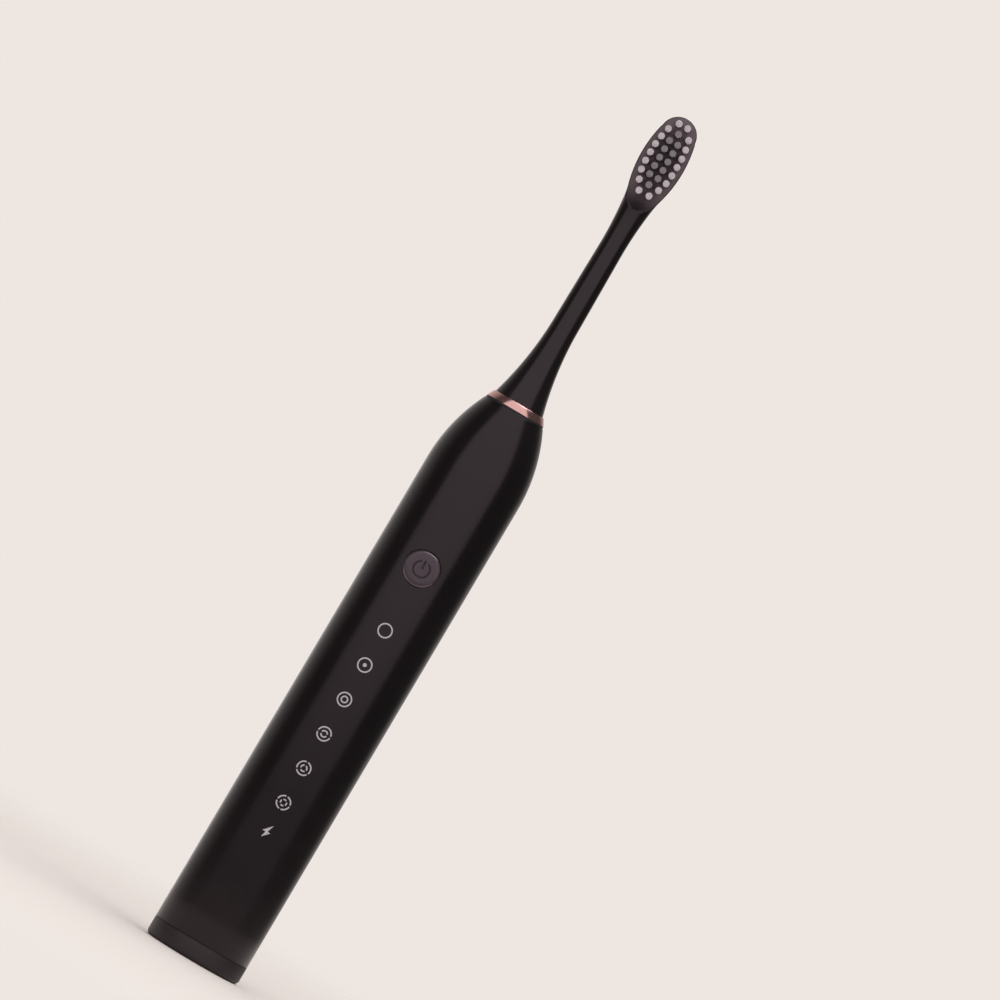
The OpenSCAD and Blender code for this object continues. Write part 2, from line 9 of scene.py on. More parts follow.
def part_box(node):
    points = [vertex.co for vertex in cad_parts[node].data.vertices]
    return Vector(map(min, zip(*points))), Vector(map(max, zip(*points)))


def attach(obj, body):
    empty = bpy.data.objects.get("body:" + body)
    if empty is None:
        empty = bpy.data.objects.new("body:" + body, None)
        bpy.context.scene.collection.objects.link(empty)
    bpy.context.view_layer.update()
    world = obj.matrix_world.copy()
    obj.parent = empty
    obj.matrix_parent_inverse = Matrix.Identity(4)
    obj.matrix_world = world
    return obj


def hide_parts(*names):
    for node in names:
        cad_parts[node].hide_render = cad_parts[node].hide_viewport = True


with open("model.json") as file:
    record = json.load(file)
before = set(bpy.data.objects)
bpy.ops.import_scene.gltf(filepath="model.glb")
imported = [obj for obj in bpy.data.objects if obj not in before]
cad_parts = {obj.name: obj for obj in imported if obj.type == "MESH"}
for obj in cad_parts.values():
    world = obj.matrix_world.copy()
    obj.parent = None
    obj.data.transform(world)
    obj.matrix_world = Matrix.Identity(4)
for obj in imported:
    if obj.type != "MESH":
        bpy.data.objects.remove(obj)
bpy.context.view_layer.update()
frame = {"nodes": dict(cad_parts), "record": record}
MM = 0.001

# --------------------------------------------------------------------------------------------------
# Camera. It stands straight in front of the brush, far away, so that the tufts are seen end on, and it
# is rolled, so that the brush leans to the right.
LEAN = math.radians(30.6)
VIEW_WIDTH = 251.4 * MM
VIEW_X, VIEW_Z = 8.1 * MM, 138.7 * MM
camera_data = bpy.data.cameras.new("camera")
camera_data.lens = 450
camera_data.clip_end = 30
camera_distance = VIEW_WIDTH * camera_data.lens / camera_data.sensor_width
camera = bpy.data.objects.new("camera", camera_data)
camera.matrix_world = (Matrix.Translation((VIEW_X, -camera_distance, VIEW_Z))
                       @ Matrix.Rotation(math.radians(90), 4, "X") @ Matrix.Rotation(LEAN, 4, "Z"))
bpy.context.collection.objects.link(camera)
bpy.context.scene.camera = camera

# --------------------------------------------------------------------------------------------------
# Studio. A tall soft box stands in front and a broad light hangs overhead. The room is white behind the
# brush and darkens to its sides, so that the round body shows a broad middle band and light edges.
front_data = bpy.data.lights.new("front_soft_box", "AREA")
front_data.shape = "RECTANGLE"
front_data.size, front_data.size_y = 1.66, 2.4
front_data.energy = 12.2
front_data.color = (1, 0.955, 0.965)
front_light = bpy.data.objects.new("front_soft_box", front_data)
front_light.location = (0, -0.55, 1.25)
front_light.rotation_euler = (math.radians(90), 0, 0)
top_data = bpy.data.lights.new("top_light", "SUN")
top_data.energy = 1.66
top_data.angle = math.radians(50)
top_light = bpy.data.objects.new("top_light", top_data)
top_light.rotation_euler = (math.radians(-6), math.radians(7), 0)
for light in (front_light, top_light):
    light.visible_camera = False
    bpy.context.collection.objects.link(light)

PAPER = (0.855, 0.795, 0.752, 1)
world = bpy.data.worlds.new("studio")
bpy.context.scene.world = world
world.use_nodes = True
tree = world.node_tree
tree.nodes.clear()
out = tree.nodes.new("ShaderNodeOutputWorld")
seen = tree.nodes.new("ShaderNodeBackground")
seen.inputs["Color"].default_value = PAPER
room = tree.nodes.new("ShaderNodeBackground")
ramp = tree.nodes.new("ShaderNodeValToRGB")
stops = ramp.color_ramp.elements
stops[0].position = 0.66
stops[0].color = (0.09, 0.0828, 0.081, 1)
stops.new(0.9922).color = (0.7425, 0.6831, 0.6683, 1)
stops.new(0.9961).color = (0.8892, 0.8856, 0.8847, 1)
direction = tree.nodes.new("ShaderNodeTexCoord")
behind = tree.nodes.new("ShaderNodeVectorMath")
behind.operation = "DOT_PRODUCT"
behind.inputs[1].default_value = (-0.3, 0.954, 0)
half = tree.nodes.new("ShaderNodeMath")
half.operation = "MULTIPLY_ADD"
half.inputs[1].default_value = 0.5
half.inputs[2].default_value = 0.5
tree.links.new(direction.outputs["Generated"], behind.inputs[0])
tree.links.new(behind.outputs["Value"], half.inputs[0])
tree.links.new(half.outputs[0], ramp.inputs["Fac"])
tree.links.new(ramp.outputs["Color"], room.inputs["Color"])
path = tree.nodes.new("ShaderNodeLightPath")
either = tree.nodes.new("ShaderNodeMixShader")
tree.links.new(path.outputs["Is Camera Ray"], either.inputs["Fac"])
tree.links.new(room.outputs[0], either.inputs[1])
tree.links.new(seen.outputs[0], either.inputs[2])
tree.links.new(either.outputs[0], out.inputs["Surface"])
bpy.context.scene.view_settings.view_transform = "Standard"

# Floor. A round sheet of pale paper that fades into the room at its edge, so that no horizon shows.
FLOOR_R = 0.42
bm = bmesh.new()
bmesh.ops.create_circle(bm, cap_ends=True, cap_tris=False, segments=96, radius=FLOOR_R)
floor_mesh = bpy.data.meshes.new("floor")
bm.to_mesh(floor_mesh)
bm.free()
floor = bpy.data.objects.new("floor", floor_mesh)
bpy.context.collection.objects.link(floor)
paper = bpy.data.materials.new("pale_paper")
paper.use_nodes = True
nodes, links = paper.node_tree.nodes, paper.node_tree.links
shader = nodes["Principled BSDF"]
shader.inputs["Base Color"].default_value = PAPER
shader.inputs["Roughness"].default_value = 0.9
shader.inputs["Specular IOR Level"].default_value = 0.1
place = nodes.new("ShaderNodeTexCoord")
away = nodes.new("ShaderNodeVectorMath")
away.operation = "LENGTH"
links.new(place.outputs["Object"], away.inputs[0])
fade = nodes.new("ShaderNodeMapRange")
fade.interpolation_type = "SMOOTHSTEP"
fade.inputs["From Min"].default_value = 0.05
fade.inputs["From Max"].default_value = 0.4
fade.inputs["To Min"].default_value = 1
fade.inputs["To Max"].default_value = 0
links.new(away.outputs["Value"], fade.inputs["Value"])
links.new(fade.outputs[0], shader.inputs["Alpha"])
floor.data.materials.append(paper)

# --------------------------------------------------------------------------------------------------
# Handle shell. One tube of moulded plastic with a soft satin lacquer: a straight round grip, a rounded
# shoulder and a flat nose with a hole for the shaft. The button's hole goes through the front wall.
ROUND_STEPS = 160
GRIP_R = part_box("handle_shell")[1].x / MM
WALL = 1.8
BORE_R = GRIP_R - WALL
SEAM_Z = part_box("handle_shell")[0].z / MM
NOSE_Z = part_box("handle_shell")[1].z / MM
SHOULDER_Z = NOSE_Z - 20.4
SHOULDER_R = 45.3
NOSE_WALL, NOSE_BORE_R, SEAL_HOLE_R = 3.4, 7.6, 4.0
EDGE_R = 0.12


def add_piece(name, bm, material, body, replaces=(), sharp=28):
    """Makes an object from a bmesh, smooth up to an angle, and gives it its material and its body."""
    bm.normal_update()
    mesh = bpy.data.meshes.new(name)
    bm.to_mesh(mesh)
    bm.free()
    mesh.shade_smooth()
    mesh.set_sharp_from_angle(angle=math.radians(sharp))
    piece = bpy.data.objects.new(name, mesh)
    bpy.context.collection.objects.link(piece)
    piece.data.materials.append(material)
    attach(piece, body)
    if replaces:
        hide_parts(*replaces)
    return piece


def arc(centre, radius, start, end, steps):
    """Points along an arc in the half plane of radius and height, in degrees from outwards to up."""
    turns = [math.radians(start + (end - start) * i / steps) for i in range(steps + 1)]
    return [(centre[0] + radius * math.cos(a), centre[1] + radius * math.sin(a)) for a in turns]


def lathe(outline, closed=True, steps=ROUND_STEPS):
    """Spins an outline of (radius, height) points in millimetres once around the axis."""
    bm = bmesh.new()
    points = [bm.verts.new((r * MM, 0, z * MM)) for r, z in outline]
    for first, second in zip(points, points[1:] + (points[:1] if closed else [])):
        bm.edges.new((first, second))
    bmesh.ops.spin(bm, geom=bm.verts[:] + bm.edges[:], axis=(0, 0, 1), cent=(0, 0, 0), angle=math.tau,
                   steps=steps, use_merge=True)
    bmesh.ops.remove_doubles(bm, verts=bm.verts, dist=1e-7)
    bmesh.ops.recalc_face_normals(bm, faces=bm.faces)
    return bm


def cut(bm, cutter):
    """Takes the cutter's volume out of the mesh, welds the seam, and frees the cutter."""
    pair = []
    for name, part in (("cut_from", bm), ("cut_by", cutter)):
        mesh = bpy.data.meshes.new(name)
        part.to_mesh(mesh)
        pair.append(bpy.data.objects.new(name, mesh))
        bpy.context.collection.objects.link(pair[-1])
    cutter.free()
    boolean = pair[0].modifiers.new("cut", "BOOLEAN")
    boolean.operation = "DIFFERENCE"
    boolean.solver = "EXACT"
    boolean.object = pair[1]
    depsgraph = bpy.context.evaluated_depsgraph_get()
    result = bpy.data.meshes.new_from_object(pair[0].evaluated_get(depsgraph))
    bm.clear()
    bm.from_mesh(result)
    bmesh.ops.remove_doubles(bm, verts=bm.verts, dist=0.004 * MM)
    for piece in pair:
        mesh = piece.data
        bpy.data.objects.remove(piece)
        bpy.data.meshes.remove(mesh)
    bpy.data.meshes.remove(result)
    return bm


def rod_forward(bm, x, z, radius, near, far, steps=64):
    """Adds a closed cylinder along Y between two distances in front of the axis, in millimetres."""
    spot = Matrix.Translation((x * MM, -(near + far) / 2 * MM, z * MM))
    forward = Matrix.Rotation(math.radians(90), 4, "X")
    bmesh.ops.create_cone(bm, cap_ends=True, segments=steps, radius1=radius * MM, radius2=radius * MM,
                          depth=(far - near) * MM, matrix=spot @ forward)


def round_edges(bm, chosen, width, segments=3):
    """Bevels the edges for which chosen(edge) is true, by a width in millimetres."""
    edges = [e for e in bm.edges if chosen(e)]
    bmesh.ops.bevel(bm, geom=edges, offset=width * MM, offset_type="OFFSET", affect="EDGES",
                    segments=segments, profile=0.5, material=-1)


def grain_group():
    """Node group for moulded and lacquered surfaces: a fine grain, and broad patches where the sheen
    changes a little from handling. It puts out a colour, a roughness and a height."""
    group = bpy.data.node_groups.new("surface_grain", "ShaderNodeTree")
    for name, value in (("Grain Scale", 4000.0), ("Patch Scale", 60.0), ("Low Roughness", 0.3),
                        ("High Roughness", 0.4)):
        socket = group.interface.new_socket(name=name, in_out="INPUT", socket_type="NodeSocketFloat")
        socket.default_value = value
    for name in ("Dark Colour", "Light Colour"):
        group.interface.new_socket(name=name, in_out="INPUT", socket_type="NodeSocketColor")
    group.interface.new_socket(name="Colour", in_out="OUTPUT", socket_type="NodeSocketColor")
    group.interface.new_socket(name="Roughness", in_out="OUTPUT", socket_type="NodeSocketFloat")
    group.interface.new_socket(name="Height", in_out="OUTPUT", socket_type="NodeSocketFloat")
    nodes, links = group.nodes, group.links
    given = nodes.new("NodeGroupInput")
    result = nodes.new("NodeGroupOutput")
    place = nodes.new("ShaderNodeTexCoord")
    grain = nodes.new("ShaderNodeTexNoise")
    grain.inputs["Detail"].default_value = 3
    patches = nodes.new("ShaderNodeTexNoise")
    patches.inputs["Detail"].default_value = 4
    patches.inputs["Roughness"].default_value = 0.6
    for noise, scale in ((grain, "Grain Scale"), (patches, "Patch Scale")):
        links.new(place.outputs["Object"], noise.inputs["Vector"])
        links.new(given.outputs[scale], noise.inputs["Scale"])
    both = nodes.new("ShaderNodeMath")
    both.operation = "MULTIPLY_ADD"
    both.inputs[1].default_value = 0.35
    links.new(grain.outputs["Fac"], both.inputs[0])
    links.new(patches.outputs["Fac"], both.inputs[2])
    spread = nodes.new("ShaderNodeMapRange")
    spread.inputs["From Min"].default_value = 0.4
    spread.inputs["From Max"].default_value = 0.95
    links.new(both.outputs[0], spread.inputs["Value"])
    links.new(given.outputs["Low Roughness"], spread.inputs["To Min"])
    links.new(given.outputs["High Roughness"], spread.inputs["To Max"])
    colour = nodes.new("ShaderNodeMix")
    colour.data_type = "RGBA"
    links.new(both.outputs[0], colour.inputs["Factor"])
    links.new(given.outputs["Dark Colour"], colour.inputs["A"])
    links.new(given.outputs["Light Colour"], colour.inputs["B"])
    links.new(colour.outputs["Result"], result.inputs["Colour"])
    links.new(spread.outputs[0], result.inputs["Roughness"])
    links.new(grain.outputs["Fac"], result.inputs["Height"])
    return group


GRAIN = grain_group()


def moulded(name, dark, light, roughness, grain_mm=0.2, bump_mm=0.004, ior=1.5, metallic=0.0, coat=0.0,
            gleam=(1, 1, 1)):
    """A solid, opaque finish on the grain group: plastic, lacquer, rubber or metal. Its gleam tints what it
    reflects straight on."""
    material = bpy.data.materials.new(name)
    material.use_nodes = True
    nodes, links = material.node_tree.nodes, material.node_tree.links
    shader = nodes["Principled BSDF"]
    shader.inputs["IOR"].default_value = ior
    shader.inputs["Metallic"].default_value = metallic
    shader.inputs["Coat Weight"].default_value = coat
    shader.inputs["Coat Roughness"].default_value = 0.12
    shader.inputs["Specular Tint"].default_value = (*gleam, 1)
    grain = nodes.new("ShaderNodeGroup")
    grain.node_tree = GRAIN
    grain.inputs["Grain Scale"].default_value = 1 / (grain_mm * MM)
    grain.inputs["Patch Scale"].default_value = 55
    grain.inputs["Low Roughness"].default_value = roughness[0]
    grain.inputs["High Roughness"].default_value = roughness[1]
    grain.inputs["Dark Colour"].default_value = (*dark, 1)
    grain.inputs["Light Colour"].default_value = (*light, 1)
    bump = nodes.new("ShaderNodeBump")
    bump.inputs["Strength"].default_value = 1
    bump.inputs["Distance"].default_value = bump_mm * MM
    links.new(grain.outputs["Colour"], shader.inputs["Base Color"])
    links.new(grain.outputs["Roughness"], shader.inputs["Roughness"])
    links.new(grain.outputs["Height"], bump.inputs["Height"])
    links.new(bump.outputs["Normal"], shader.inputs["Normal"])
    return material


# The dark plastics are smoked, so what they reflect straight on has a warm tint.
SMOKE = (1, 0.82, 0.87)
handle_lacquer = moulded("handle_lacquer", (0.0052, 0.0044, 0.0048), (0.0082, 0.0069, 0.0075), (0.19, 0.26),
                         grain_mm=0.16, bump_mm=0.0012, ior=1.43, gleam=SMOKE)

outline = [(BORE_R, SEAM_Z + 0.02), (GRIP_R - EDGE_R, SEAM_Z + 0.02), (GRIP_R - 0.03, SEAM_Z + 0.06),
           (GRIP_R, SEAM_Z + 0.16)]
BUTTON_Z = (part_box("button_cap")[0].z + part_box("button_cap")[1].z) / 2 / MM
BUTTON_HOLE_R = 4.80
# Rows of points up the grip, close together around the button, so that the hole's rim can be rounded.
rows = [SEAM_Z + 8 * i for i in range(1, 13)] + [BUTTON_Z - 6 + 0.5 * i for i in range(25)] + [124, 131]
outline += [(GRIP_R, z) for z in rows]
shoulder_end = math.degrees(math.asin((NOSE_Z - EDGE_R - SHOULDER_Z) / SHOULDER_R))
outline += arc((GRIP_R - SHOULDER_R, SHOULDER_Z), SHOULDER_R, 0, shoulder_end, 32)
outline += arc((outline[-1][0] - EDGE_R, NOSE_Z - EDGE_R), EDGE_R, 25, 90, 4)
outline += [(SEAL_HOLE_R, NOSE_Z), (SEAL_HOLE_R, NOSE_Z - NOSE_WALL), (NOSE_BORE_R, NOSE_Z - NOSE_WALL)]
inner_end = math.degrees(math.asin((NOSE_Z - NOSE_WALL - SHOULDER_Z) / (SHOULDER_R - WALL)))
outline += arc((GRIP_R - SHOULDER_R, SHOULDER_Z), SHOULDER_R - WALL, inner_end, 0, 12)
shell = lathe(outline)

hole = bmesh.new()
rod_forward(hole, 0, BUTTON_Z, BUTTON_HOLE_R, 9.0, 15.0, 96)
cut(shell, hole)


def on_button_rim(edge):
    """Edges around the button's hole on the outside of the grip."""
    ends = [v.co for v in edge.verts]
    off = [abs(math.hypot(p.x, p.z - BUTTON_Z * MM) - BUTTON_HOLE_R * MM) for p in ends]
    outside = [abs(math.hypot(p.x, p.y) - GRIP_R * MM) for p in ends]
    return max(off) < 0.02 * MM and max(outside) < 0.03 * MM and all(p.y < 0 for p in ends)


round_edges(shell, on_button_rim, EDGE_R, 2)
add_piece("handle_skin", shell, handle_lacquer, "handle", ["handle_shell"])

# --------------------------------------------------------------------------------------------------
# Base cap. A plug moulded in plastic with a fine matt texture. It is pushed into the foot of the handle,
# its flat ring stands on the shelf, and its socket drops over the post of a charging dock.
CAP_Z = SEAM_Z - 0.03
CAP_EDGE_R, CAP_FLOOR = 1.2, 2.2
PLUG_R, PLUG_WALL, PLUG_TOP = BORE_R - 0.05, 1.6, SEAM_Z + 7
SOCKET_R, SOCKET_DEPTH, SOCKET_WALL = 4.6, 11.0, 1.4
base_plastic = moulded("base_plastic", (0.009, 0.0078, 0.0083), (0.015, 0.013, 0.0138), (0.42, 0.55),
                       grain_mm=0.35, bump_mm=0.012, gleam=SMOKE)
outline = [(0, SOCKET_DEPTH), (SOCKET_R, SOCKET_DEPTH), (SOCKET_R, 0.55), (SOCKET_R + 0.15, 0.2),
           (SOCKET_R + 0.5, 0.0), (10.2, 0.0), (10.3, 0.3), (10.9, 0.3), (11.0, 0.0)]
outline += arc((GRIP_R - CAP_EDGE_R, CAP_EDGE_R), CAP_EDGE_R, -90, 0, 8)
outline += [(GRIP_R, CAP_Z - 0.16), (GRIP_R - 0.03, CAP_Z - 0.06), (GRIP_R - EDGE_R, CAP_Z)]
outline += [(PLUG_R, CAP_Z), (PLUG_R, PLUG_TOP), (PLUG_R - PLUG_WALL, PLUG_TOP)]
outline += [(PLUG_R - PLUG_WALL, CAP_FLOOR), (SOCKET_R + SOCKET_WALL, CAP_FLOOR)]
outline += [(SOCKET_R + SOCKET_WALL, SOCKET_DEPTH + SOCKET_WALL), (0, SOCKET_DEPTH + SOCKET_WALL)]
base_cap = lathe(outline, closed=False)
add_piece("base_cap_moulding", base_cap, base_plastic, "handle", ["base_cap"])

# --------------------------------------------------------------------------------------------------
# Mode marks and charge mark. Thin clear plastic inlays in the lacquer, flush with the grip, which the lights
# behind them shine through. They are pale grey when off: a ring, a ring with a dot, a double ring, three
# double rings broken by gaps, and a bolt.
MARK_R = 1.95
MARK_LINE = 0.36
MARK_PROUD = 0.012
MARK_DEEP = 0.3
DOT_R = 0.5
mark_lens = moulded("mark_lens", (0.46, 0.43, 0.455), (0.58, 0.55, 0.575), (0.25, 0.35), grain_mm=0.3,
                    bump_mm=0.002, coat=0.3)


def flat_ring(bm, centre_z, outer, line, gaps=0, first_gap=0):
    """Adds a flat ring in the XZ plane by spinning a short edge. Equal gaps, 1.2 lines wide, may cut it."""
    spans = gaps or 1
    middle = outer - line / 2
    gap = 2 * math.asin(0.6 * line / middle) if gaps else 0
    centre = Vector((0, 0, centre_z * MM))
    for i in range(spans):
        start = math.radians(first_gap) + i * math.tau / spans + gap / 2
        sweep = math.tau / spans - gap
        ends = [bm.verts.new(centre + Vector((math.cos(start) * r * MM, 0, math.sin(start) * r * MM)))
                for r in (outer - line, outer)]
        edge = bm.edges.new(ends)
        bmesh.ops.spin(bm, geom=ends + [edge], axis=(0, -1, 0), cent=centre, angle=sweep,
                       steps=max(8, round(64 * sweep / math.tau)), use_merge=not gaps)
    bmesh.ops.remove_doubles(bm, verts=bm.verts, dist=1e-7)


def lay_on_grip(bm):
    """Bends a flat drawing round the grip, just proud of it, and gives it its depth."""
    for v in bm.verts:
        v.co.y = -math.sqrt(((GRIP_R + MARK_PROUD) * MM) ** 2 - v.co.x ** 2)
    bmesh.ops.recalc_face_normals(bm, faces=bm.faces)
    if sum(f.normal.y for f in bm.faces) > 0:
        bmesh.ops.reverse_faces(bm, faces=bm.faces)
    back = bmesh.ops.extrude_face_region(bm, geom=bm.faces[:])
    deep = [v for v in back["geom"] if isinstance(v, bmesh.types.BMVert)]
    bmesh.ops.translate(bm, verts=deep, vec=(0, MARK_DEEP * MM, 0))
    bmesh.ops.recalc_face_normals(bm, faces=bm.faces)
    return bm


for number in range(1, 7):
    node = f"mode_light_{number}"
    low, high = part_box(node)
    height = (low.z + high.z) / 2 / MM
    mark = bmesh.new()
    gaps = max(0, number - 2)
    broken = number > 3
    flat_ring(mark, height, MARK_R, MARK_LINE, gaps if broken else 0, 90 if number == 5 else 0)
    if number == 2:
        dot = Matrix.Translation((0, 0, height * MM)) @ Matrix.Rotation(math.radians(90), 4, "X")
        bmesh.ops.create_circle(mark, cap_ends=True, segments=32, radius=DOT_R * MM, matrix=dot)
    if number > 2:
        inner_start = {5: 90, 6: 45}.get(number, 0)
        flat_ring(mark, height, MARK_R / 2, MARK_LINE, gaps if broken else 0, inner_start)
    add_piece(f"mode_mark_{number}", lay_on_grip(mark), mark_lens, "handle", [node])

bolt = bmesh.new()
low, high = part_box("charge_light")
height = (low.z + high.z) / 2 / MM
corners = [(0.95, 1.95), (-1.1, -0.3), (-0.2, -0.3), (-0.6, -1.95), (1.1, -0.2), (0.3, -0.05)]
bolt.faces.new([bolt.verts.new((x * MM, 0, (height + z) * MM)) for x, z in corners])
for x in (-0.8, -0.4, 0, 0.4, 0.8):
    whole = bolt.verts[:] + bolt.edges[:] + bolt.faces[:]
    bmesh.ops.bisect_plane(bolt, geom=whole, plane_co=(x * MM, 0, 0), plane_no=(1, 0, 0))
add_piece("charge_mark", lay_on_grip(bolt), mark_lens, "handle", ["charge_light"])

# --------------------------------------------------------------------------------------------------
# Power button. A satin grey plastic cap, almost flat, with a polished, chamfered rim that stands a little
# proud of the grip, and a power symbol pressed into it. It slides in its hole on a rubber ring.
BUTTON_R = 4.72
DOME_R, DOME_RISE = BUTTON_R - 0.54, 0.04
FLANGE_R, FLANGE_BACK, FLANGE_FRONT = BUTTON_R + 0.9, 3.4, 2.75
SYMBOL_R, SYMBOL_LINE, SYMBOL_DEPTH, SYMBOL_GAP = 2.3, 0.38, 0.16, 52
BUTTON_FACE = -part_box("button_cap")[0].y / MM
button_grey = moulded("button_grey", (0.042, 0.032, 0.043), (0.058, 0.045, 0.059), (0.26, 0.34),
                      bump_mm=0.002, gleam=SMOKE)
outline = [(0, BUTTON_FACE - FLANGE_BACK), (FLANGE_R, BUTTON_FACE - FLANGE_BACK),
           (FLANGE_R, BUTTON_FACE - FLANGE_FRONT), (BUTTON_R, BUTTON_FACE - FLANGE_FRONT)]
outline += [(BUTTON_R, BUTTON_FACE - 0.7), (BUTTON_R, BUTTON_FACE - 0.55),
            (BUTTON_R - 0.04, BUTTON_FACE - 0.47), (BUTTON_R - 0.44, BUTTON_FACE - 0.08),
            (DOME_R, BUTTON_FACE - DOME_RISE)]
outline += [(r, BUTTON_FACE - DOME_RISE * (r / DOME_R) ** 2) for r in (3.4, 2.8, 1.5, 0)]
button = lathe(outline, closed=False, steps=96)
symbol = bmesh.new()
start = math.radians(90 + SYMBOL_GAP / 2)
pair = [symbol.verts.new((math.cos(start) * r * MM, math.sin(start) * r * MM, 0))
        for r in (SYMBOL_R - SYMBOL_LINE, SYMBOL_R)]
bmesh.ops.spin(symbol, geom=pair + [symbol.edges.new(pair)], axis=(0, 0, 1), cent=(0, 0, 0),
               angle=math.radians(360 - SYMBOL_GAP), steps=48)
bar = [(-SYMBOL_LINE / 2, 0.1), (SYMBOL_LINE / 2, 0.1), (SYMBOL_LINE / 2, 2.45), (-SYMBOL_LINE / 2, 2.45)]
symbol.faces.new([symbol.verts.new((x * MM, y * MM, 0)) for x, y in bar])
bmesh.ops.translate(symbol, verts=symbol.verts, vec=(0, 0, (BUTTON_FACE - SYMBOL_DEPTH) * MM))
raised = bmesh.ops.extrude_face_region(symbol, geom=symbol.faces[:])
top = [v for v in raised["geom"] if isinstance(v, bmesh.types.BMVert)]
bmesh.ops.translate(symbol, verts=top, vec=(0, 0, 1 * MM))
bmesh.ops.recalc_face_normals(symbol, faces=symbol.faces)
cut(button, symbol)


def on_symbol_edge(edge):
    """Edges where the button's face meets the walls of the symbol."""
    tilts = sorted(face.normal.z for face in edge.link_faces)
    middle = (edge.verts[0].co + edge.verts[1].co) / 2 / MM
    return (len(tilts) == 2 and abs(tilts[0]) < 0.2 and tilts[1] > 0.9 and middle.z > BUTTON_FACE - 0.08
            and math.hypot(middle.x, middle.y) < SYMBOL_R + 0.1)


round_edges(button, on_symbol_edge, 0.09, 1)
# Slot 1 goes to the floor of the symbol's groove, whose near-black colour is painted shade; slot 2 goes to
# the rim's chamfer.
for face in button.faces:
    middle = face.calc_center_median() / MM
    across = math.hypot(middle.x, middle.y)
    if middle.z < BUTTON_FACE - 0.1 and across < SYMBOL_R + 0.1 and face.normal.z > 0.9:
        face.material_index = 1
    elif middle.z > BUTTON_FACE - 0.56 and (0.2 < face.normal.z < 0.9 or across > BUTTON_R - 0.5):
        face.material_index = 2
bmesh.ops.rotate(button, verts=button.verts, cent=(0, 0, 0),
                 matrix=Matrix.Rotation(math.radians(90), 3, "X"))
bmesh.ops.translate(button, verts=button.verts, vec=(0, 0, BUTTON_Z * MM))
button_top = add_piece("button_top", button, button_grey, "power_button", ["button_cap"])
# The groove floor is painted near-black as shade in the recess.
symbol_groove_shade = moulded("symbol_groove_painted_shade", (0.009, 0.006, 0.008), (0.015, 0.010, 0.013), (0.5, 0.6), bump_mm=0.003,
                 gleam=SMOKE)
polished_rim = moulded("polished_rim", (0.045, 0.038, 0.045), (0.060, 0.051, 0.060), (0.2, 0.26),
                       bump_mm=0.001, ior=1.75, gleam=SMOKE)
button_top.data.materials.append(symbol_groove_shade)
button_top.data.materials.append(polished_rim)

# --------------------------------------------------------------------------------------------------
# Rose gold ring. A turned and anodised metal band, slightly conical, with softly broken edges. It is
# pressed on the foot of the brush head and comes off with it.
HEAD_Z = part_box("head_ring")[0].z / MM
RING_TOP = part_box("head_ring")[1].z / MM
RING_FOOT_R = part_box("head_ring")[1].x / MM
RING_BORE_R = 6.2
rose_gold = moulded("rose_gold", (0.63, 0.365, 0.34), (0.70, 0.42, 0.395), (0.14, 0.20), grain_mm=0.5,
                    bump_mm=0.0008, metallic=1.0)
outline = [(RING_BORE_R, HEAD_Z), (RING_FOOT_R - 0.1, HEAD_Z), (RING_FOOT_R, HEAD_Z + 0.08),
           (RING_FOOT_R - 0.02, HEAD_Z + 0.16), (RING_FOOT_R - 0.95, RING_TOP - 0.1),
           (RING_FOOT_R - 1.02, RING_TOP - 0.02), (RING_FOOT_R - 1.12, RING_TOP), (RING_BORE_R, RING_TOP)]
add_piece("ring_band", lathe(outline), rose_gold, "brush_head", ["head_ring"])

# --------------------------------------------------------------------------------------------------
# Brush head. One glossy plastic moulding: a flared foot that is hollow for the shaft, a slim neck, and an
# oval plate with a flat face for the bristles and a rounded back. The face runs down into the neck in a
# short scoop.
TIP_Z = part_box("head_body")[1].z / MM
FOOT_R = RING_FOOT_R - 1.35
FLARE_TOP = HEAD_Z + 26.1
WAIST_Z = TIP_Z - 37.4
NECK_R, WAIST_R, UPPER_R = 3.5, 3.2, 100
HOLLOW_R, HOLLOW_MOUTH_R, HOLLOW_TOP = 2.6, 4.6, HEAD_Z + 25.2
FLARE_R = ((FLARE_TOP - RING_TOP) ** 2 + (FOOT_R - NECK_R) ** 2) / (2 * (FOOT_R - NECK_R))
PLATE_HALF, PLATE_WIDE_Z, PLATE_SIDE_R, TIP_R = 5.85, TIP_Z - 12.5, 33, 4.757
PLATE_FACE, PLATE_FRONT, PLATE_BACK, SCOOP_R = 2.0, 3.0, 3.1, 6.0
SCOOP_Z = TIP_Z - 22.1
PLATE_FOOT = TIP_Z - 21.0
TIP_CURL, TIP_MIDDLE = 4.6, 1.3
head_plastic = moulded("head_plastic", (0.0075, 0.0062, 0.0066), (0.0115, 0.0095, 0.0102), (0.19, 0.26),
                       grain_mm=0.16, bump_mm=0.0012, ior=1.44, gleam=SMOKE)
# The bristle face is a paler copy of the head plastic, and its paleness is painted light. Lower down it
# fades back to the plastic's own near-black colour where the face runs into the scoop.
head_face = moulded("head_face", (0.098, 0.078, 0.086), (0.122, 0.098, 0.107), (0.42, 0.5), gleam=SMOKE)
nodes, links = head_face.node_tree.nodes, head_face.node_tree.links
shader = nodes["Principled BSDF"]
place = nodes.new("ShaderNodeTexCoord")
parts = nodes.new("ShaderNodeSeparateXYZ")
fade = nodes.new("ShaderNodeMapRange")
fade.interpolation_type = "SMOOTHSTEP"
fade.inputs["From Min"].default_value = (SCOOP_Z - 3.2) * MM
fade.inputs["From Max"].default_value = (SCOOP_Z + 1.8) * MM
